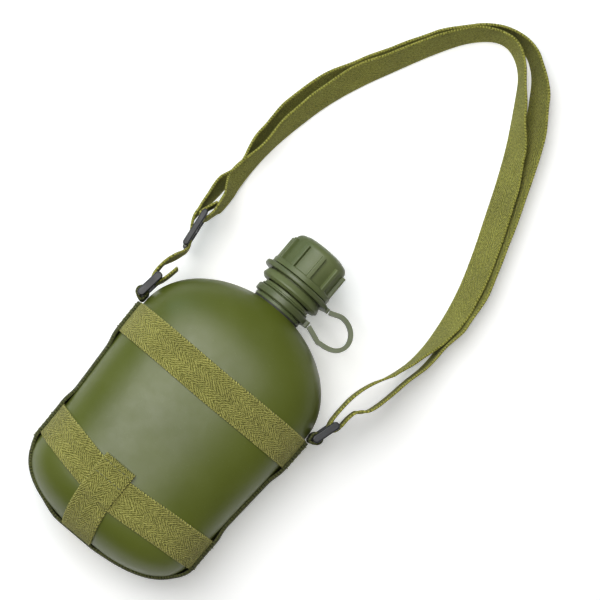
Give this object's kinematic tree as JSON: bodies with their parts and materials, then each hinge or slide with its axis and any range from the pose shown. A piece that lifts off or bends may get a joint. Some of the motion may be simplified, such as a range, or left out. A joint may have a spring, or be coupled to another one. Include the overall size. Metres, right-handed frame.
{
  "type": "canteen",
  "caption": "Flat oval metal canteen with ribbed screw cap on a loop tether, webbing harness and adjustable shoulder strap, lying on its back.",
  "frame": {"origin": "on the surface the canteen's back rests on, below the middle of its length and width, without the shoulder strap", "axes": "+Y along the bottle towards the cap, +Z out of its front, +X across it"},
  "size_m": [0.1732, 0.4204, 0.0802],
  "materials": {
    "bottle_paint": "semi-gloss olive paint",
    "neck_plastic": "satin moulded plastic",
    "cap_plastic": "satin moulded plastic",
    "tether_plastic": "satin flexible plastic",
    "seal_rubber": "matt soft seal",
    "webbing": "herringbone twill cotton webbing",
    "sewing_thread": "twisted thread",
    "buckle_plastic": "fine-grained moulded plastic"
  },
  "bodies": {
    "canteen": {"bottle_shell": "bottle_paint", "neck_gasket": "seal_rubber", "neck_collar": "neck_plastic", "upper_band": "webbing", "lower_band": "webbing", "side_strap": "webbing", "bottom_tab": "webbing", "left_loop": "webbing", "right_loop": "webbing", "band_stitching": "sewing_thread", "tab_stitching": "sewing_thread", "strap_left_end": "webbing", "strap_right_turn": "webbing"},
    "left_buckle": {"left_buckle": "buckle_plastic"},
    "right_buckle": {"right_buckle": "buckle_plastic"},
    "sling": {"strap_outer": "webbing", "strap_inner": "webbing"},
    "slider": {"slider": "buckle_plastic"},
    "tether": {"tether_neck_ring": "tether_plastic", "tether_strap": "tether_plastic"},
    "tether_top": {"tether_cap_ring": "tether_plastic"},
    "seal": {"cap_seal": "seal_rubber"},
    "cap": {"cap": "cap_plastic"}
  },
  "joints": [
    {"name": "left_buckle_pivot", "type": "hinge", "parent": "canteen", "child": "left_buckle", "pos_m": [-0.0692, 0.0234, 0.0388], "axis": [0, 0, 1], "range_deg": [-10, 35], "deforming": ["strap_left_end"]},
    {"name": "right_buckle_pivot", "type": "hinge", "parent": "canteen", "child": "right_buckle", "pos_m": [0.0692, 0.0234, 0.0388], "axis": [0, 0, 1], "range_deg": [-35, 10], "deforming": ["strap_right_turn"]},
    {"name": "strap_swing", "type": "hinge", "parent": "canteen", "child": "sling", "pos_m": [0, 0.046, 0.0388], "axis": [1, 0, 0], "range_deg": [0, 90], "deforming": ["strap_outer", "strap_inner"]},
    {"name": "slider_adjust", "type": "slide", "parent": "sling", "child": "slider", "axis": [-0.1444, 0.9895, 0], "range_m": [0, 0.012]},
    {"name": "tether_swivel", "type": "hinge", "parent": "canteen", "child": "tether", "pos_m": [0, 0.0731, 0.0388], "axis": [0, 1, 0], "continuous": true},
    {"name": "tether_lift", "type": "slide", "parent": "tether", "child": "tether_top", "axis": [0, 1, 0], "range_m": [0, 0.0321], "deforming": ["tether_strap"]},
    {"name": "cap_lift", "type": "slide", "parent": "canteen", "child": "seal", "axis": [0, 1, 0], "range_m": [0, 0.0321]},
    {"name": "cap_unscrew", "type": "hinge", "parent": "seal", "child": "cap", "pos_m": [0, 0.1, 0.0388], "axis": [0, 1, 0], "range_deg": [0, 1440]}
  ],
  "couplings": [
    {"joint": "cap_lift", "follows": "cap_unscrew", "m_per_rad": 0.0012732},
    {"joint": "tether_lift", "follows": "cap_unscrew", "m_per_rad": 0.0012732}
  ]
}
